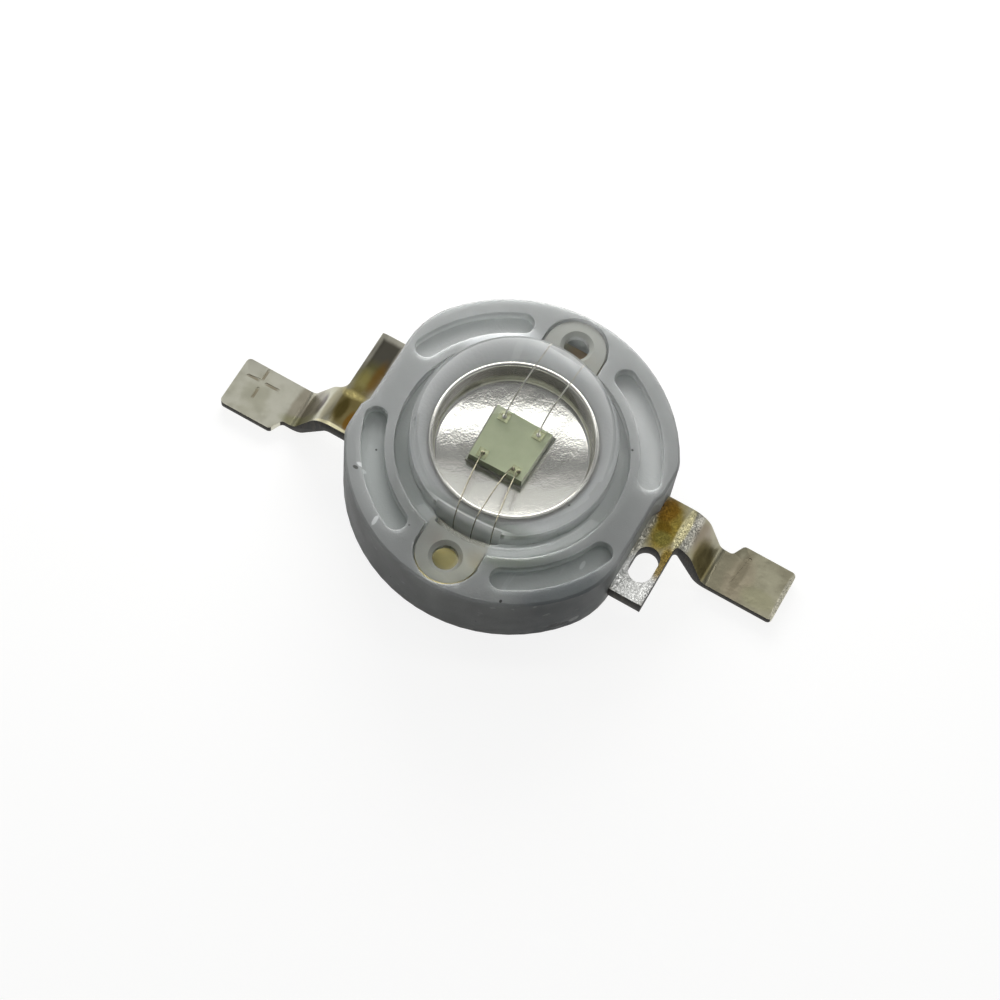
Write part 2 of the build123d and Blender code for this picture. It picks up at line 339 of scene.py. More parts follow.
# 1 within the inner radius about Z, and 0 past the outer one
def disc(tree, spot, inner, outer):
    flat = addNode(tree, "ShaderNodeVectorMath", {0: spot, 1: (1, 1, 0)}, operation="MULTIPLY")
    radius = addNode(tree, "ShaderNodeVectorMath", {0: flat.outputs[0]}, operation="LENGTH")
    return addNode(tree, "ShaderNodeMapRange", {"Value": radius.outputs["Value"], "From Min": inner,
                                                "From Max": outer, "To Min": 1, "To Max": 0},
                   interpolation_type="SMOOTHSTEP").outputs[0]


# 1 inside a soft-edged oval or square patch and 0 outside: centre and half sizes are in X and Y, or in X, Y
# and Z, and ragged is how far the edge wanders
def patch(tree, spot, centre, size, ragged=0.25, edge=0.35, square=False):
    moved = addNode(tree, "ShaderNodeMapping", {0: spot, "Location": [*centre, 0][:3],
                                                "Scale": [*size, 1e6][:3]}, vector_type="TEXTURE")
    away = addNode(tree, "ShaderNodeVectorMath", {0: moved.outputs[0]}, operation="LENGTH").outputs["Value"]
    if square:
        sides = addNode(tree, "ShaderNodeVectorMath", {0: moved.outputs[0]}, operation="ABSOLUTE")
        sides = addNode(tree, "ShaderNodeSeparateXYZ", {0: sides.outputs[0]})
        away = addNode(tree, "ShaderNodeMath", {0: sides.outputs["X"], 1: sides.outputs["Y"]},
                       operation="MAXIMUM").outputs[0]
    noise = addNode(tree, "ShaderNodeTexNoise", {"Vector": spot, "Scale": 3.5, "Detail": 5,
                                                 "Roughness": 0.65})
    torn = addNode(tree, "ShaderNodeMath", {0: noise.outputs[0], 1: 2 * ragged, 2: away},
                   operation="MULTIPLY_ADD")
    return addNode(tree, "ShaderNodeMapRange", {"Value": torn.outputs[0], "From Min": 1 + ragged - edge,
                                                "From Max": 1 + ragged + edge, "To Min": 1, "To Max": 0},
                   interpolation_type="SMOOTHSTEP").outputs[0]


# Sparse specks: a share of the cells of the given spacing get a dot of the given radius
def specks(tree, spot, spacing, radius, share):
    cells = addNode(tree, "ShaderNodeTexVoronoi", {"Vector": spot, "Scale": 1 / spacing, "Randomness": 1.0})
    dot = addNode(tree, "ShaderNodeMapRange", {"Value": cells.outputs["Distance"],
                                               "From Min": radius / spacing,
                                               "From Max": 1.6 * radius / spacing, "To Min": 1, "To Max": 0},
                  interpolation_type="SMOOTHSTEP")
    kept = addNode(tree, "ShaderNodeSeparateColor", {0: cells.outputs["Color"]})
    few = addNode(tree, "ShaderNodeMath", {0: kept.outputs[0], 1: share}, operation="LESS_THAN")
    shown = addNode(tree, "ShaderNodeMath", {0: dot.outputs[0], 1: few.outputs[0]}, operation="MULTIPLY")
    return shown.outputs[0]


# Lays coats over a ground colour: each is a mask, its strength where the mask is 1, and its colour, which is
# a hex value or the output of another node
def layCoats(tree, ground, coats):
    tone = toLinear(ground)
    for mask, strength, colour in coats:
        share = addNode(tree, "ShaderNodeMath", {0: mask, 1: strength}, operation="MULTIPLY")
        over = toLinear(colour) if isinstance(colour, str) else colour
        tone = addNode(tree, "ShaderNodeMix", {0: share.outputs[0], 6: tone, 7: over},
                       data_type="RGBA").outputs[2]
    return tone


# The bore and the recesses are tinted within a radius, and the tint fades out between its two values. The
# recess tint is painted light that lifts the shade in the recesses: it fades in between two depths and is
# paler far than near along Y. The broad patches are painted shade at the near side of the bore and at the
# near right, and painted light at the far side of the bore and, the square one, at the edge of the near wire
# well.
bodyLook = {"pale": "#aaacab", "deep": "#9d9f9e", "cloud": 1.6, "sheen": 0.5, "swell": 0.8, "grain": 0.05,
            "bore": "#c1c3c3", "boreFade": (2.3, 2.8), "recessPaintedLightNear": "#c2c6c4", "recessPaintedLightFar": "#d3d5d4",
            "recessFade": (3.78, 3.84), "recessDepth": (0.04, 0.30), "recessAlongY": (-2.0, 2.5),
            "speck": "#2c2b28", "speckSpacing": 0.6, "speckRadius": 0.02, "speckShare": 0.35,
            "rubbed": "#d8dbda",
            # Painted shade and painted light in broad patches
            "paintedLightAndShade": [{"centre": (0.50, -2.15), "size": (1.8, 0.75), "colour": "#70766c"},
                       {"centre": (-0.80, 2.20), "size": (1.5, 0.60), "colour": "#dfe3e4"},
                       {"centre": (3.30, -2.90), "size": (1.4, 1.15), "colour": "#7c8081"},
                       {"centre": (0.0, -1.66), "size": (0.74, 0.06), "colour": "#f4f6f4", "square": True}],
            "nicks": [{"centre": (-2.83, -2.23), "size": (0.12, 0.05), "colour": "#e8ebea"},
                      {"centre": (-2.93, -2.35), "size": (0.07, 0.04), "colour": "#4a4a46"},
                      {"centre": (-1.85, -3.29), "size": (0.05, 0.14), "colour": "#e8ebea"},
                      {"centre": (2.83, -1.63), "size": (0.05, 0.13), "colour": "#e8ebea"},
                      {"centre": (3.13, -2.42, 1.10), "size": (0.14, 0.14, 0.12), "colour": "#d8dad8"},
                      {"centre": (2.85, -2.72, 1.05), "size": (0.30, 0.25, 0.12), "colour": "#30302c"},
                      {"centre": (1.67, -3.52), "size": (0.03, 0.04), "colour": "#1f1e1b"},
                      {"centre": (2.47, 1.43), "size": (0.03, 0.03), "colour": "#1f1e1b"},
                      {"centre": (2.25, -1.47), "size": (0.03, 0.02), "colour": "#1f1e1b"}]}


# PPA (polyphthalamide), injection moulded: milky grey and satin, a fine mould grain, dark specks, pale nicks,
# and painted light and shade in broad patches and in the recesses
def makeMouldedBody():
    material, tree = newMaterial("ppaMoulded")
    spot = millimetres(tree)
    cloudy, patchy = [addNode(tree, "ShaderNodeTexNoise", {"Vector": spot, "Scale": 1 / size, "Detail": 3,
                                                           "Roughness": 0.55}).outputs[0]
                      for size in (bodyLook["cloud"], bodyLook["sheen"])]
    swell, grain = [addNode(tree, "ShaderNodeTexNoise", {"Vector": spot, "Scale": 1 / size, "Detail": 2,
                                                         "Roughness": 0.55}).outputs[0]
                    for size in (bodyLook["swell"], bodyLook["grain"])]
    coats = [(cloudy, 1.0, bodyLook["pale"]),
             (disc(tree, spot, *bodyLook["boreFade"]), 1.0, bodyLook["bore"])]
    # Broad patches of painted shade and painted light
    for tint in bodyLook["paintedLightAndShade"]:
        mask = patch(tree, spot, tint["centre"], tint["size"], 0.15, 0.5, tint.get("square", False))
        coats.append((mask, 1.0, tint["colour"]))
    # Painted light in the recesses, paler far than near
    top, foot = (bodyTop - depth for depth in bodyLook["recessDepth"])
    inRecess = addNode(tree, "ShaderNodeMath", {0: disc(tree, spot, *bodyLook["recessFade"]),
                                                1: ramp(tree, spot, "Z", top, foot)}, operation="MULTIPLY")
    inside = addNode(tree, "ShaderNodeMix", {0: ramp(tree, spot, "Y", *bodyLook["recessAlongY"]),
                                             6: toLinear(bodyLook["recessPaintedLightNear"]),
                                             7: toLinear(bodyLook["recessPaintedLightFar"])}, data_type="RGBA")
    coats.append((inRecess.outputs[0], 1.0, inside.outputs[2]))
    dirt = specks(tree, spot, bodyLook["speckSpacing"], bodyLook["speckRadius"], bodyLook["speckShare"])
    coats.append((dirt, 0.75, bodyLook["speck"]))
    for nick in bodyLook["nicks"]:
        coats.append((patch(tree, spot, nick["centre"], nick["size"], 0.5, 0.25), 0.8, nick["colour"]))
    # Rubbed streaks: a cloud drawn out sideways, of which only the crests show
    drawn = addNode(tree, "ShaderNodeMapping", {0: spot, "Rotation": [0.5, 0.3, 0.6],
                                                "Scale": [3.2, 0.35, 3.2]})
    streak = addNode(tree, "ShaderNodeTexNoise", {"Vector": drawn.outputs[0], "Scale": 1.2, "Detail": 3})
    rub = addNode(tree, "ShaderNodeMapRange", {"Value": streak.outputs[0], "From Min": 0.66,
                                               "From Max": 0.72}, interpolation_type="SMOOTHSTEP")
    coats.append((rub.outputs[0], 0.35, bodyLook["rubbed"]))
    tone = layCoats(tree, bodyLook["deep"], coats)
    height = addNode(tree, "ShaderNodeMath", {0: swell, 1: 3.0, 2: grain}, operation="MULTIPLY_ADD")
    bump = addNode(tree, "ShaderNodeBump", {"Height": height.outputs[0], "Strength": 0.35,
                                            "Distance": 0.012 * mm})
    satin = addNode(tree, "ShaderNodeMapRange", {"Value": patchy, "From Min": 0.3, "From Max": 0.7,
                                                 "To Min": 0.42, "To Max": 0.55},
                    interpolation_type="SMOOTHSTEP")
    body = addNode(tree, "ShaderNodeBsdfPrincipled",
                   {"Base Color": tone, "Roughness": satin.outputs[0], "Normal": bump.outputs[0], "IOR": 1.5,
                    "Specular IOR Level": 0.1, "Subsurface Weight": 0.9, "Subsurface Scale": 0.8 * mm,
                    "Subsurface Radius": [1.0, 1.0, 1.0]})
    addNode(tree, "ShaderNodeOutputMaterial", {0: body.outputs[0]})
    return material


# The strokes of the stamped marks go from point to point on the tab, as it lies on the cathode lead: minus is
# one stroke, and plus is four short ones that nearly meet
marks = {"width": 0.08, "depth": 0.022, "floor": "#93866c",
         "minus": [((6.07, 1.42), (5.96, 0.62))],
         "plus": [((6.15, 0.66), (6.48, 0.67)), ((6.70, 0.65), (7.00, 0.70)), ((6.62, 0.33), (6.63, 0.60)),
                  ((6.60, 0.87), (6.59, 1.15))]}
# Crystal is the width of the metal's crystals, which show where a stain has grain
leadLook = {"cathode": {"plate": "#b1ad95", "dull": "#99947e", "dented": 0.8},
            "anode": {"plate": "#d5d3c3", "dull": "#c4c2ae", "dented": 0.3},
            "mottle": 0.6, "sheen": 0.3, "crystal": 0.028, "dent": 0.3, "dentDepth": 0.012,
            # The cut's near-black is tarnish and painted shade
            "cut": "#1f1c17", "cutWorn": "#4a4438"}
# Stains and painted highlights in millimetres on the cathode lead as it lies, its strip along Y and its tab
# towards +X. The near-white ones at the bend and at the tab's end are painted highlights.
cathodeStainsAndHighlights = [
    {"centre": (0.00, 3.00), "size": (1.00, 1.20), "colour": "#9c998a", "amount": 0.9},
    {"centre": (0.12, 3.40), "size": (0.35, 0.16), "colour": "#b09a80", "amount": 0.8},
    {"centre": (4.00, -1.00), "size": (0.70, 0.75), "colour": "#eeeeea", "amount": 1.0, "grain": 0.35},
    {"centre": (4.38, -0.30), "size": (0.16, 0.45), "colour": "#a88c34", "amount": 0.85, "grain": 0.7},
    {"centre": (3.60, 0.40), "size": (0.14, 0.80), "colour": "#d5d2c4", "amount": 0.9, "grain": 0.6},
    {"centre": (4.02, 0.58), "size": (0.34, 0.74), "colour": "#8f7d34", "amount": 0.95, "grain": 0.2},
    {"centre": (3.86, 0.98), "size": (0.26, 0.34), "colour": "#7c5c20", "amount": 0.9, "grain": 0.2},
    {"centre": (3.98, 0.52), "size": (0.20, 0.16), "colour": "#6e5518", "amount": 0.8, "grain": 0.2},
    {"centre": (4.06, 0.26), "size": (0.22, 0.20), "colour": "#78723a", "amount": 0.8},
    # Painted highlights along the top of the bend
    {"centre": (4.62, 0.78), "size": (0.14, 0.70), "colour": "#e0ddd0", "amount": 0.9, "grain": 0.6},
    {"centre": (4.42, 0.74), "size": (0.11, 0.56), "colour": "#f9f0be", "amount": 1.0, "grain": 0.8},
    {"centre": (4.88, 0.86), "size": (0.20, 0.44), "colour": "#8b8070", "amount": 0.8},
    {"centre": (5.12, 0.55), "size": (0.26, 0.50), "colour": "#857a4c", "amount": 0.8},
    {"centre": (5.62, 0.80), "size": (0.24, 0.90), "colour": "#8b8570", "amount": 0.8},
    {"centre": (6.08, 0.80), "size": (0.34, 0.62), "colour": "#a59a84", "amount": 0.7},
    {"centre": (6.02, 1.00), "size": (0.13, 0.56), "colour": "#7d7560", "amount": 0.55},
    {"centre": (6.70, 0.60), "size": (0.46, 0.26), "colour": "#a5a284", "amount": 0.7},
    # Painted highlight on the tab's rounded end
    {"centre": (7.20, 0.95), "size": (0.07, 0.75), "colour": "#d9d5c2", "amount": 0.7, "grain": 0.5},
]
# The same for the anode lead, which is that lead turned half round; the pale gold streak and the cream line
# along its neck are painted highlights, tinted gold and cream
anodeStainsAndHighlights = [
    {"centre": (0.00, 3.00), "size": (1.00, 1.20), "colour": "#a3a294", "amount": 0.9},
    {"centre": (0.12, 2.94), "size": (0.34, 0.34), "colour": "#857b50", "amount": 0.95},
    {"centre": (0.70, 2.62), "size": (0.26, 0.22), "colour": "#8a5c48", "amount": 1.0},
    {"centre": (-0.58, 2.62), "size": (0.26, 0.22), "colour": "#9a8440", "amount": 1.0},
    {"centre": (4.12, -0.65), "size": (0.60, 0.95), "colour": "#aba799", "amount": 1.0},
    {"centre": (4.08, -0.93), "size": (0.25, 0.44), "colour": "#56534a", "amount": 0.97, "ragged": 0.08,
     "edge": 0.16, "square": True},
    {"centre": (4.10, -0.36), "size": (0.30, 0.34), "colour": "#6c6842", "amount": 0.9, "edge": 0.6},
    {"centre": (4.16, -0.06), "size": (0.26, 0.34), "colour": "#968d52", "amount": 0.85, "edge": 0.6},
    {"centre": (3.93, -0.30), "size": (0.13, 0.46), "colour": "#7a5a28", "amount": 0.8, "edge": 0.6},
    {"centre": (4.12, 0.72), "size": (0.42, 0.62), "colour": "#75662e", "amount": 0.9},
    {"centre": (4.24, 0.78), "size": (0.13, 0.34), "colour": "#4c421e", "amount": 0.85},
    {"centre": (3.93, 0.98), "size": (0.10, 0.28), "colour": "#80591a", "amount": 0.8},
    # Painted highlight: a pale gold streak along the neck
    {"centre": (4.22, 0.32), "size": (0.32, 0.09), "colour": "#cdbf80", "amount": 0.8, "ragged": 0.6,
     "edge": 0.7, "grain": 0.3},
    {"centre": (4.55, 0.80), "size": (0.12, 0.54), "colour": "#aaa48c", "amount": 0.9},
    {"centre": (4.82, 0.78), "size": (0.10, 0.30), "colour": "#4c4243", "amount": 0.9},
    {"centre": (5.10, 0.85), "size": (0.30, 0.60), "colour": "#7d7565", "amount": 0.85},
    {"centre": (5.50, 0.80), "size": (0.16, 0.70), "colour": "#a59d8a", "amount": 0.8},
    {"centre": (5.25, 1.22), "size": (0.45, 0.18), "colour": "#94946a", "amount": 0.6},
    # Painted highlight along the neck's edge, tinted cream
    {"centre": (4.24, 1.28), "size": (0.42, 0.05), "colour": "#fff6cc", "amount": 1.0, "ragged": 0.1},
]
# The floor of the plus mark is browner than the tab
for start, end in marks["plus"]:
    middle = ((start[0] + end[0]) / 2, (start[1] + end[1]) / 2)
    halves = [max(abs(end[i] - start[i]) / 2, 0.44 * marks["width"]) for i in (0, 1)]
    anodeStainsAndHighlights.append({"centre": middle, "size": halves, "colour": marks["floor"], "amount": 0.7,
                        "square": True})


# Copper, stamped and silver plated: soft gleam, stained gold to brown where the moulding heat reached it,
# with painted highlights at its bend, its neck and the tab's end
def makePlatedLead(name, turn, look, stainsAndHighlights):
    material, tree = newMaterial(name)
    spot = millimetres(tree)
    onLead = addNode(tree, "ShaderNodeMapping", {0: spot, "Rotation": [0, 0, math.radians(turn)]}).outputs[0]
    mottle = addNode(tree, "ShaderNodeTexNoise", {"Vector": spot, "Scale": 1 / leadLook["mottle"],
                                                  "Detail": 5, "Roughness": 0.55})
    clean = addNode(tree, "ShaderNodeMapRange", {"Value": mottle.outputs[0], "From Min": 0.35,
                                                 "From Max": 0.65}, interpolation_type="SMOOTHSTEP")
    coats = [(clean.outputs[0], 1.0, look["plate"])]
    grained = 0.0
    # Stains, and painted highlights where listed, laid over the plate
    for stainOrHighlight in stainsAndHighlights:
        mask = patch(tree, onLead, stainOrHighlight["centre"], stainOrHighlight["size"], stainOrHighlight.get("ragged", 0.25),
                     stainOrHighlight.get("edge", 0.35), stainOrHighlight.get("square", False))
        coats.append((mask, stainOrHighlight["amount"], stainOrHighlight["colour"]))
        if stainOrHighlight.get("grain"):
            shown = addNode(tree, "ShaderNodeMath", {0: mask, 1: stainOrHighlight["grain"]}, operation="MULTIPLY")
            grained = addNode(tree, "ShaderNodeMath", {0: grained, 1: shown.outputs[0]},
                              operation="MAXIMUM").outputs[0]
    tone = layCoats(tree, look["dull"], coats)
    # Coarse crystals where the metal was bent or pressed: each one is tilted its own way and sparkles
    crystals = addNode(tree, "ShaderNodeTexVoronoi", {"Vector": spot, "Scale": 1 / leadLook["crystal"]})
    tilt = addNode(tree, "ShaderNodeVectorMath", {0: crystals.outputs["Color"], 1: (0.5, 0.5, 0.5)},
                   operation="SUBTRACT")
    tilt = addNode(tree, "ShaderNodeVectorMath", {0: tilt.outputs[0], "Scale": grained}, operation="SCALE")
    facing = addNode(tree, "ShaderNodeNewGeometry").outputs["Normal"]
    facet = addNode(tree, "ShaderNodeVectorMath", {0: facing, 1: tilt.outputs[0]}, operation="ADD")
    facet = addNode(tree, "ShaderNodeVectorMath", {0: facet.outputs[0]}, operation="NORMALIZE")
    dents = addNode(tree, "ShaderNodeTexNoise", {"Vector": spot, "Scale": 1 / leadLook["dent"], "Detail": 4,
                                                 "Roughness": 0.55})
    bump = addNode(tree, "ShaderNodeBump", {"Height": dents.outputs[0], "Strength": look["dented"],
                                            "Distance": leadLook["dentDepth"] * mm,
                                            "Normal": facet.outputs[0]})
    sheen = addNode(tree, "ShaderNodeTexNoise", {"Vector": spot, "Scale": 1 / leadLook["sheen"], "Detail": 3,
                                                 "Roughness": 0.55})
    rough = addNode(tree, "ShaderNodeMapRange", {"Value": sheen.outputs[0], "From Min": 0.3, "From Max": 0.7,
                                                 "To Min": 0.30, "To Max": 0.42},
                    interpolation_type="SMOOTHSTEP")
    plate = addNode(tree, "ShaderNodeBsdfPrincipled",
                    {"Base Color": tone, "Metallic": 1, "Roughness": rough.outputs[0],
                     "Normal": bump.outputs[0]})
    addNode(tree, "ShaderNodeOutputMaterial", {0: plate.outputs[0]})
    return material


# Copper, sheared: the cut is tarnished, dark and dull, with a torn grain that runs through the thickness; its
# near-black colour is also painted shade, for the dark room that the cut faces reflect
def makeShearedCopper():
    material, tree = newMaterial("copperSheared")
    # Nine tears to a millimetre along the cut, each half a millimetre long down it
    torn = addNode(tree, "ShaderNodeMapping", {0: millimetres(tree), "Scale": [9, 9, 2]})
    grain = addNode(tree, "ShaderNodeTexNoise", {"Vector": torn.outputs[0], "Scale": 1, "Detail": 4})
    worn = addNode(tree, "ShaderNodeMapRange", {"Value": grain.outputs[0], "From Min": 0.4, "From Max": 0.75},
                   interpolation_type="SMOOTHSTEP")
    tone = addNode(tree, "ShaderNodeMix", {0: worn.outputs[0], 6: toLinear(leadLook["cut"]),
                                           7: toLinear(leadLook["cutWorn"])}, data_type="RGBA")
    bump = addNode(tree, "ShaderNodeBump", {"Height": grain.outputs[0], "Strength": 0.6,
                                            "Distance": 0.01 * mm})
    cut = addNode(tree, "ShaderNodeBsdfPrincipled",
                  {"Base Color": tone.outputs[2], "Metallic": 0.15, "Specular IOR Level": 0.2,
                   "Roughness": 0.55, "Normal": bump.outputs[0]})
    addNode(tree, "ShaderNodeOutputMaterial", {0: cut.outputs[0]})
    return material


# Pitted is the radius of the cup's pitted floor, which fades between the two values
cupLook = {"silver": "#dddbd5", "dull": "#dcdad3", "cloud": 0.5, "wave": 0.35, "pit": 0.035,
           "pitted": (1.10, 1.16)}


# Copper, coined and bright silver plated: a mirror with slow waves, and fine pits that sparkle on its floor
def makeCoinedSilver():
    material, tree = newMaterial("silverCoined")
    spot = millimetres(tree)
    cloudy = addNode(tree, "ShaderNodeTexNoise", {"Vector": spot, "Scale": 1 / cupLook["cloud"], "Detail": 3,
                                                  "Roughness": 0.55})
    tone = addNode(tree, "ShaderNodeMix", {0: cloudy.outputs[0], 6: toLinear(cupLook["dull"]),
                                           7: toLinear(cupLook["silver"])}, data_type="RGBA")
    wave = addNode(tree, "ShaderNodeTexNoise", {"Vector": spot, "Scale": 1 / cupLook["wave"], "Detail": 2,
                                                "Roughness": 0.55})
    pits = addNode(tree, "ShaderNodeTexVoronoi", {"Vector": spot, "Scale": 1 / cupLook["pit"]})
    pitted = addNode(tree, "ShaderNodeMath", {0: pits.outputs["Distance"],
                                              1: disc(tree, spot, *cupLook["pitted"])}, operation="MULTIPLY")
    height = addNode(tree, "ShaderNodeMath", {0: wave.outputs[0], 1: 6.0, 2: pitted.outputs[0]},
                     operation="MULTIPLY_ADD")
    bump = addNode(tree, "ShaderNodeBump", {"Height": height.outputs[0], "Strength": 0.5,
                                            "Distance": 0.002 * mm})
    mirror = addNode(tree, "ShaderNodeBsdfPrincipled",
                     {"Base Color": tone.outputs[2], "Metallic": 1, "Roughness": 0.2,
                      "Normal": bump.outputs[0]})
    addNode(tree, "ShaderNodeOutputMaterial", {0: mirror.outputs[0]})
    return material


lensLook = {"hazyDeep": "#b8b9b0", "hazyPale": "#cccec8", "cloud": 0.5, "ripple": 0.25}


# Clear silicone, moulded, over gel of the same index: water clear, so no face shows between the two
def makeClearLens():
    material, tree = newMaterial("siliconeClear")
    clear = addNode(tree, "ShaderNodeBsdfPrincipled",
                    {"Base Color": (0.99, 1.0, 0.985, 1), "Roughness": 0.0, "IOR": 1.41,
                     "Transmission Weight": 1})
    addNode(tree, "ShaderNodeOutputMaterial", {0: clear.outputs[0]})
    return material


# The same silicone where its outer face is hazy from the mould: the ears beside the dome
def makeHazySilicone():
    material, tree = newMaterial("siliconeHazy")
    spot = millimetres(tree)
    cloudy, ripple = [addNode(tree, "ShaderNodeTexNoise", {"Vector": spot, "Scale": 1 / size, "Detail": 3,
                                                           "Roughness": 0.55}).outputs[0]
                      for size in (lensLook["cloud"], lensLook["ripple"])]
    tone = addNode(tree, "ShaderNodeMix", {0: cloudy, 6: toLinear(lensLook["hazyDeep"]),
                                           7: toLinear(lensLook["hazyPale"])}, data_type="RGBA")
    bump = addNode(tree, "ShaderNodeBump", {"Height": ripple, "Strength": 0.4, "Distance": 0.02 * mm})
    hazy = addNode(tree, "ShaderNodeBsdfPrincipled",
                   {"Base Color": tone.outputs[2], "Roughness": 0.3, "IOR": 1.41, "Transmission Weight": 0.45,
                    "Specular IOR Level": 0.3, "Normal": bump.outputs[0]})
    addNode(tree, "ShaderNodeOutputMaterial", {0: hazy.outputs[0]})
    return material


dieLook = {"pale": "#bbc3a2", "deep": "#a7b08c", "cloud": 0.18, "frontSidePaintedShade": "#747a62", "otherSidesPaintedLight": "#d3d7c2"}


# Sapphire die with a gallium nitride face, sawn: pale yellow green on top, with painted shade on the side
# that faces the front and painted light on its other sides
def makeDie():
    material, tree = newMaterial("sapphireSawn")
    spot = millimetres(tree)
    cloudy = addNode(tree, "ShaderNodeTexNoise", {"Vector": spot, "Scale": 1 / dieLook["cloud"], "Detail": 4,
                                                  "Roughness": 0.55})
    facing = addNode(tree, "ShaderNodeTexCoord").outputs["Normal"]
    # Painted shade on the side facing the front, painted light on the other sides
    sides = addNode(tree, "ShaderNodeMix", {0: ramp(tree, facing, "Y", -0.8, -0.3),
                                            6: toLinear(dieLook["frontSidePaintedShade"]),
                                            7: toLinear(dieLook["otherSidesPaintedLight"])}, data_type="RGBA")
    tone = layCoats(tree, dieLook["deep"], [(cloudy.outputs[0], 1.0, dieLook["pale"]),
                                            (ramp(tree, facing, "Z", 0.7, 0.3), 1.0, sides.outputs[2])])
    die = addNode(tree, "ShaderNodeBsdfPrincipled", {"Base Color": tone, "Roughness": 0.4})
    addNode(tree, "ShaderNodeOutputMaterial", {0: die.outputs[0]})
    return material


solderLook = {"deep": "#85867c", "pale": "#a2a398", "ripple": 0.08}


# Solder, reflowed: dull grey with frozen ripples
def makeSolder():
    material, tree = newMaterial("solderReflowed")
    ripple = addNode(tree, "ShaderNodeTexNoise", {"Vector": millimetres(tree),
                                                  "Scale": 1 / solderLook["ripple"], "Detail": 3,
                                                  "Roughness": 0.55}).outputs[0]
    tone = addNode(tree, "ShaderNodeMix", {0: ripple, 6: toLinear(solderLook["deep"]),
                                           7: toLinear(solderLook["pale"])}, data_type="RGBA")
    bump = addNode(tree, "ShaderNodeBump", {"Height": ripple, "Strength": 0.5, "Distance": 0.01 * mm})
    paste = addNode(tree, "ShaderNodeBsdfPrincipled",
                    {"Base Color": tone.outputs[2], "Metallic": 0.7, "Roughness": 0.5,
                     "Normal": bump.outputs[0]})
    addNode(tree, "ShaderNodeOutputMaterial", {0: paste.outputs[0]})
    return material


# Wear is the size of the worn places, and worn is the share of its brightness that the gold keeps there
# The far wires' colour is painted light: pale, so that they look washed out and hardly show
goldLook = {"wire": "#8c8672", "farWirePaintedLight": "#d6d3ca", "contact": "#b6ba97", "wear": 0.05, "worn": 0.7}


# Gold: drawn smooth in the wires, sputtered and probed on the contacts
def makeGold(name, colour, roughness):
    material, tree = newMaterial(name)
    wear = addNode(tree, "ShaderNodeTexNoise", {"Vector": millimetres(tree), "Scale": 1 / goldLook["wear"],
                                                "Detail": 3, "Roughness": 0.55})
    bright = addNode(tree, "ShaderNodeMapRange", {"Value": wear.outputs[0], "From Min": 0.4, "From Max": 0.6},
                     interpolation_type="SMOOTHSTEP")
    dark = [value * goldLook["worn"] for value in toLinear(colour)[:3]] + [1.0]
    tone = addNode(tree, "ShaderNodeMix", {0: bright.outputs[0], 6: dark, 7: toLinear(colour)},
                   data_type="RGBA")
    gold = addNode(tree, "ShaderNodeBsdfPrincipled", {"Base Color": tone.outputs[2], "Metallic": 1,
                                                      "Roughness": roughness})
    addNode(tree, "ShaderNodeOutputMaterial", {0: gold.outputs[0]})
    return material


mouldedBody = makeMouldedBody()
cathodePlate = makePlatedLead("copperSilverPlatedCathode", 0, leadLook["cathode"], cathodeStainsAndHighlights)
anodePlate = makePlatedLead("copperSilverPlatedAnode", 180, leadLook["anode"], anodeStainsAndHighlights)
shearedCopper = makeShearedCopper()
coinedSilver = makeCoinedSilver()
clearLens = makeClearLens()
hazySilicone = makeHazySilicone()
dieFace = makeDie()
solder = makeSolder()
wireGold = makeGold("goldDrawn", goldLook["wire"], 0.25)
# The far wires get a pale copy of the wire gold, painted light
farGoldPaintedLight = makeGold("goldDrawnPaintedLight", goldLook["farWirePaintedLight"], 0.35)
contactGold = makeGold("goldSputtered", goldLook["contact"], 0.45)
print("materials made")

# The arc recesses have rounder edges than the rest: they lie between the two radii and less than sunk deep
housingShape = {"edge": 0.05, "recessEdge": 0.18, "recessInner": 2.9, "recessOuter": 3.75, "sunk": 0.5}


# Marks the level edges of the four arc recesses
def markRecesses(housing):
    mesh = housing.data
    low, high = housingShape["recessInner"] * mm, housingShape["recessOuter"] * mm
    sunk = housingShape["sunk"]
    weight = mesh.attributes.new("bevel_weight_edge", "FLOAT", "EDGE")
    for edge in mesh.edges:
        ends = [mesh.vertices[v].co for v in edge.vertices]
        level = all(abs(e.z - ends[0].z) < 0.01 * mm and e.z > (bodyTop - sunk) * mm for e in ends)
        if level and all(low < e.xy.length < high for e in ends):
            weight.data[edge.index].value = 1.0


def makeHousing():
    housing = copyNode("housing", "housing_moulded")
    markRecesses(housing)
    step = housing.modifiers.new("recesses", "BEVEL")
    step.width = housingShape["recessEdge"] * mm
    step.segments = 5
    step.limit_method = "WEIGHT"
    settle(housing)
    soften(housing, housingShape["edge"], 3)
    smooth(housing)
    give(housing, "moulded_body", ["housing"], mouldedBody)


makeHousing()
print("housing made")

# Along X the strip ends before the bend, and the flat solder tab starts after it
leadShape = {"edge": 0.02, "stripEnd": 4.6, "tabStart": 6.0}


# Outline of one stroke with round ends
def stroke(start, end, width):
    turn = math.degrees(math.atan2(end[1] - start[1], end[0] - start[0]))
    return arc(end, width / 2, turn - 90, turn + 90, 6) + arc(start, width / 2, turn + 90, turn + 270, 6)


def makeLead(node, name, plate, mark, turn):
    lead = copyNode(node, name)
    soften(lead, leadShape["edge"])
    give(lead, "plated_lead", [node], plate, shearedCopper)
    cutFaces(lead)
    tabTop = tabLevel(lead)
    for start, end in marks[mark]:
        cutter = prism("cutter", stroke(start, end, marks["width"]), tabTop - marks["depth"], tabTop + 0.1)
        cutter.data.transform(Matrix.Rotation(math.radians(turn), 4, "Z"))
        combine(lead, cutter, "DIFFERENCE")
    smooth(lead)


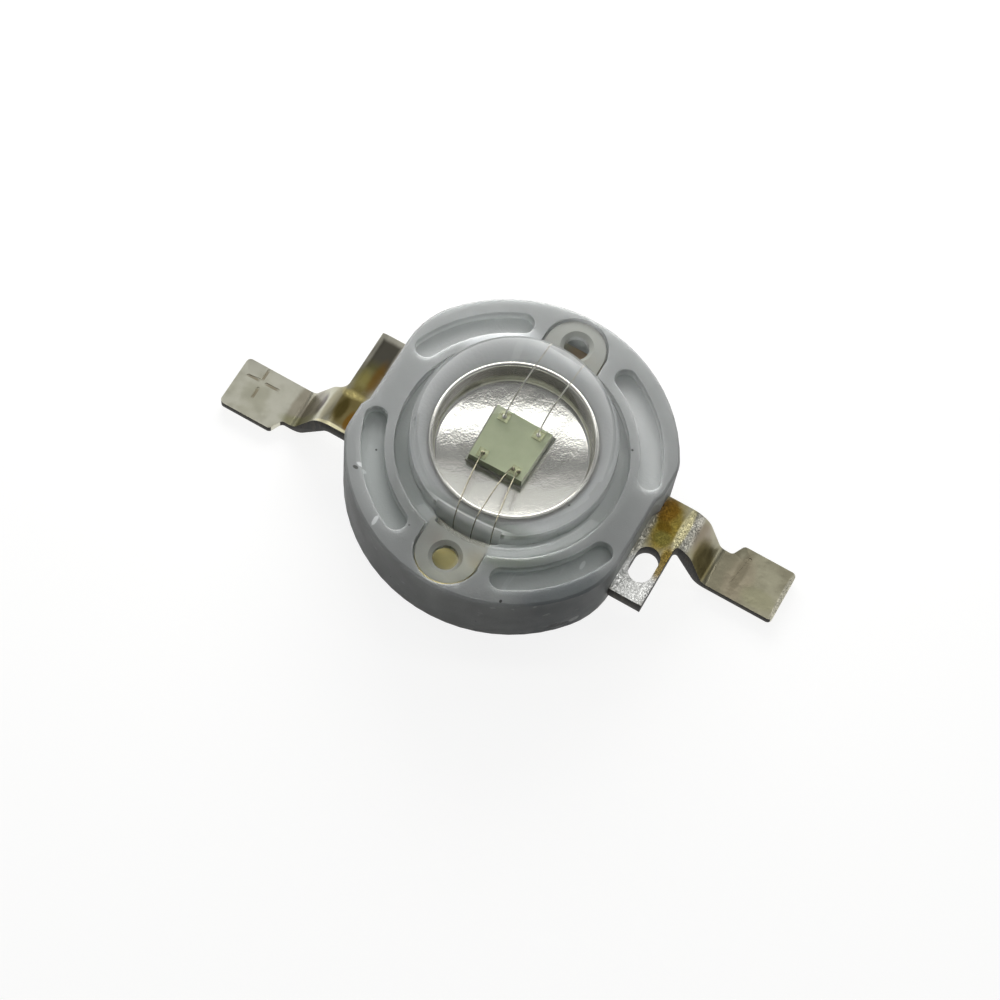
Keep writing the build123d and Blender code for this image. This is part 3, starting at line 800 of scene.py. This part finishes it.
# Height of the solder tab's top face, the highest flat face past the bend
def tabLevel(lead):
    ends = [face.center.z for face in lead.data.polygons
            if abs(face.center.x) > leadShape["tabStart"] * mm and face.normal.z > 0.99]
    return max(ends) / mm


# The sheared sides are bare, apart from the plated ends of the tabs
def cutFaces(lead):
    for face in lead.data.polygons:
        sheared = abs(face.normal.z) < 0.35 and abs(face.normal.x) < 0.8
        onStrip = abs(face.center.x) < leadShape["stripEnd"] * mm and abs(face.normal.z) < 0.35
        if sheared or onStrip:
            face.material_index = 1


makeLead("cathode_lead", "cathode_lead_formed", cathodePlate, "minus", 0)
makeLead("anode_lead", "anode_lead_formed", anodePlate, "plus", 180)
print("leads made")

# Radii and heights of the turned slug. The cup's wall runs from its rim by way of the knee to its flat floor.
slugShape = {"chamfer": 0.12, "edge": 0.03, "collarRoot": 2.45, "collarRim": 2.65, "collarHeight": 0.25,
             "pillar": 1.41, "cup": 1.34, "floor": 1.16, "knee": 1.27, "middle": 0.4,
             "rimRound": 0.03}


def makeSlug():
    wide = slugHigh.x
    collar = bodyLow.z
    collarTop = collar + slugShape["collarHeight"]
    edge = slugShape["edge"]
    pillar = slugShape["pillar"]
    cup = slugShape["cup"]
    lip = slugShape["rimRound"]
    side = [(0, 0), (wide - slugShape["chamfer"], 0), (wide, slugShape["chamfer"]), (wide, collar - edge),
            (wide - edge, collar), (slugShape["collarRoot"], collar), (slugShape["collarRim"], collarTop),
            (pillar, collarTop)]
    rim = arc((pillar - lip, cupRim - lip), lip, 0, 90, 5) + arc((cup + lip, cupRim - lip), lip, 90, 150, 5)
    # The cup's wall sweeps down to its floor as one curve
    start = Vector(rim[-1])
    knee = Vector((slugShape["knee"], cupFloor))
    foot = Vector((slugShape["floor"], cupFloor))
    steps = 24
    wall = []
    for i in range(1, steps + 1):
        t = i / steps
        wall.append(tuple((1 - t) ** 2 * start + 2 * t * (1 - t) * knee + t * t * foot))
    floor = [(slugShape["middle"], cupFloor), (0, cupFloor)]
    slug = turned("heat_slug_turned", side + rim + wall + floor, 192)
    smooth(slug)
    give(slug, "plated_slug", ["heat_slug"], coinedSilver)


makeSlug()
print("slug made")

# Lens and gel are one clear solid. Wetting is how far it reaches into what it wets, so that no gap shows.
# Laps are how far its parts reach into each other, and spare is how far a cutting tool overshoots.
optics = {"flangeSink": 0.07, "boreRadius": 2.45, "boreDepth": 0.5, "seatDepth": 0.36, "sleeveRadius": 1.91,
          "sleeveDrop": 0.08, "earWidth": 1.54, "earLap": 0.15, "wellWidth": 1.44, "wellStart": 1.65,
          "wellLap": 0.12, "mouthDrop": 0.1, "mouthLap": 0.03, "holeRadius": 0.31, "holeCentre": 3.18,
          "countersink": 0.10, "edge": 0.03, "wetting": 0.01, "spare": 0.02, "hazyFrom": 0.12}


def makeOptics():
    wet = optics["wetting"]
    edge = optics["edge"]
    spare = optics["spare"]
    flangeRadius = lensHigh.x
    flangeTop = bodyTop - optics["flangeSink"]
    seat = bodyTop - optics["seatDepth"]
    bore = bodyTop - optics["boreDepth"]
    sleeve = cupRim - optics["sleeveDrop"]
    domeBase = bodyTop + dome["centre"]
    boreWall = optics["boreRadius"] + wet
    pillar = slugShape["pillar"] - wet
    sleeveWall = optics["sleeveRadius"] - wet
    domeRadius = dome["radius"]
    profile = [(0, cupFloor - wet), (slugShape["knee"], cupFloor - wet),
               (slugShape["cup"] + wet, cupRim - wet), (pillar, cupRim - wet), (pillar, sleeve - wet),
               (sleeveWall, sleeve - wet), (sleeveWall, bore - wet), (boreWall, bore - wet),
               (boreWall, seat - wet), (flangeRadius, seat - wet), (flangeRadius, flangeTop - edge)]
    profile += arc((flangeRadius - edge, flangeTop - edge), edge, 0, 90, 4)[1:]
    profile += arc((domeRadius + edge, flangeTop + edge), edge, 270, 180, 4)
    profile += arc((0, domeBase), domeRadius, 0, 90, 72)[:-1] + [(0, domeBase + domeRadius)]
    clear = turned("lens_with_gel", profile, 192)
    halfWidth = optics["earWidth"] / 2
    earCentre = lensHigh.y - halfWidth
    sides = arc((0, earCentre), halfWidth, 0, 180, 40) + arc((0, -earCentre), halfWidth, 180, 360, 40)
    ears = prism("ears", sides, seat - wet, flangeTop)
    soften(ears, edge, 3)
    root = flangeRadius - optics["earLap"]
    hollow = turned("hollow", [(0, seat - 1), (root, seat - 1), (root, flangeTop + 1),
                               (0, flangeTop + 1)], 96)
    combine(ears, hollow, "DIFFERENCE")
    combine(clear, ears, "UNION")
    halfWell = optics["wellWidth"] / 2 + wet
    start = optics["wellStart"] - wet
    reach = optics["sleeveRadius"] + optics["mouthLap"]
    hole = optics["holeRadius"]
    wide = hole + optics["countersink"] + spare
    for side in (1, -1):
        ends = [(-halfWell * side, start * side), (halfWell * side, start * side)]
        bend = arc((0, side * earCentre), halfWell, 90 - side * 90, 270 - side * 90, 32)
        well = prism("well", bend + ends, leadTop - wet, seat + optics["wellLap"])
        combine(clear, well, "UNION")
        near = [(-halfWell, start * side), (halfWell, start * side), (halfWell, reach * side),
                (-halfWell, reach * side)]
        mouth = prism("mouth", near[::side], seat - optics["mouthDrop"], sleeve + spare)
        combine(clear, mouth, "UNION")
        drill = turned("drill", [(0, seat + spare), (hole, seat + spare),
                                 (hole, flangeTop - optics["countersink"]), (wide, flangeTop + spare),
                                 (0, flangeTop + spare)], 64)
        drill.data.transform(Matrix.Translation((0, side * optics["holeCentre"] * mm, 0)))
        combine(clear, drill, "DIFFERENCE")
    smooth(clear, 28)
    give(clear, "clear_lens", ["lens", "silicone_gel"], clearLens, hazySilicone)
    # The top faces of the ears and the walls of their countersinks are hazy
    lowest = flangeTop - optics["countersink"] - spare
    for face in clear.data.polygons:
        outside = face.center.xy.length > (domeRadius + optics["hazyFrom"]) * mm
        onEar = outside and abs(face.center.x) < halfWidth * mm
        if onEar and face.center.z > lowest * mm and face.normal.z > 0.3:
            face.material_index = 1


makeOptics()
print("lens and gel made")

for node, material in (("led_chip", dieFace), ("die_attach", solder), ("chip_bond_pads", contactGold)):
    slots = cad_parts[node].data.materials
    slots.clear()
    slots.append(material)
print("die and contacts finished")

# Each wire: its foot on the die's contacts and its landing on the lead, both along X. The balls are squashed
# to ballHeight, and the wires first go straight up and then loop over the cup's rim.
bonds = {"wireRadius": 0.0125, "ballRadius": 0.038, "ballHeight": 0.025, "contactInset": 0.12, "rise": 0.12,
         "overRim": 0.17, "landing": 2.08, "near": [(-0.30, -0.24), (0.25, 0.16), (0.35, 0.62)],
         "far": [(-0.30, -0.30), (0.30, 0.30)]}


# Point above the straight way from a wire's foot to its landing, at this Y and this height
def onWay(start, end, y, height):
    return Vector((start.x + (end.x - start.x) * (y - start.y) / (end.y - start.y), y, height))


# Points of one loop, given one by one: up, across over the rim, and down to the lead
def wireRoute(start, end, side):
    over = cupRim + bonds["overRim"]
    across = [((abs(start.y) + 1.2) / 2, over + 0.02), (1.45, over + 0.04), (1.80, over),
              (1.95, (over + leadTop) / 2), (2.04, leadTop + 0.25)]
    loop = [onWay(start, end, side * y, height) for y, height in across]
    return [start, start + Vector((0, 0, bonds["rise"])), *loop, end]


def makeWires(name, node, side, feet):
    middle = (chipLow + chipHigh) / 2
    contact = chipHigh.y - bonds["contactInset"] if side > 0 else chipLow.y + bonds["contactInset"]
    ball = bonds["ballRadius"]
    halfBall = bonds["ballHeight"] / 2
    curve = bpy.data.curves.new(name, "CURVE")
    curve.dimensions = "3D"
    curve.resolution_u = 10
    curve.bevel_depth = bonds["wireRadius"] * mm
    curve.bevel_resolution = 3
    curve.use_fill_caps = True
    balls = []
    for footX, landX in feet:
        start = Vector((middle.x + footX, contact, contactTop + halfBall))
        end = Vector((landX, side * bonds["landing"], leadTop + halfBall))
        balls += [start, end]
        route = wireRoute(start, end, side)
        spline = curve.splines.new("NURBS")
        spline.points.add(len(route) - 1)
        for point, spot in zip(spline.points, route):
            point.co = (*(spot * mm), 1)
        spline.order_u = 3
        spline.use_endpoint_u = True
    tube = addPiece(name, curve)
    depsgraph = bpy.context.evaluated_depsgraph_get()
    piece = addPiece(name, bpy.data.meshes.new_from_object(tube.evaluated_get(depsgraph)))
    bpy.data.objects.remove(tube)
    piece.name = name
    work = bmesh.new()
    work.from_mesh(piece.data)
    for spot in balls:
        squashed = Matrix.Translation(spot * mm) @ Matrix.Diagonal((1, 1, halfBall / ball, 1))
        bmesh.ops.create_uvsphere(work, u_segments=20, v_segments=12, radius=ball * mm, matrix=squashed)
    work.to_mesh(piece.data)
    work.free()
    smooth(piece, 60)
    give(piece, "gold", [node], farGoldPaintedLight if side > 0 else wireGold)


makeWires("anode_bond_wires_looped", "anode_bond_wires", -1, bonds["near"])
makeWires("cathode_bond_wires_looped", "cathode_bond_wires", 1, bonds["far"])
print("bond wires made")

bpy.context.scene.view_settings.view_transform = "Standard"
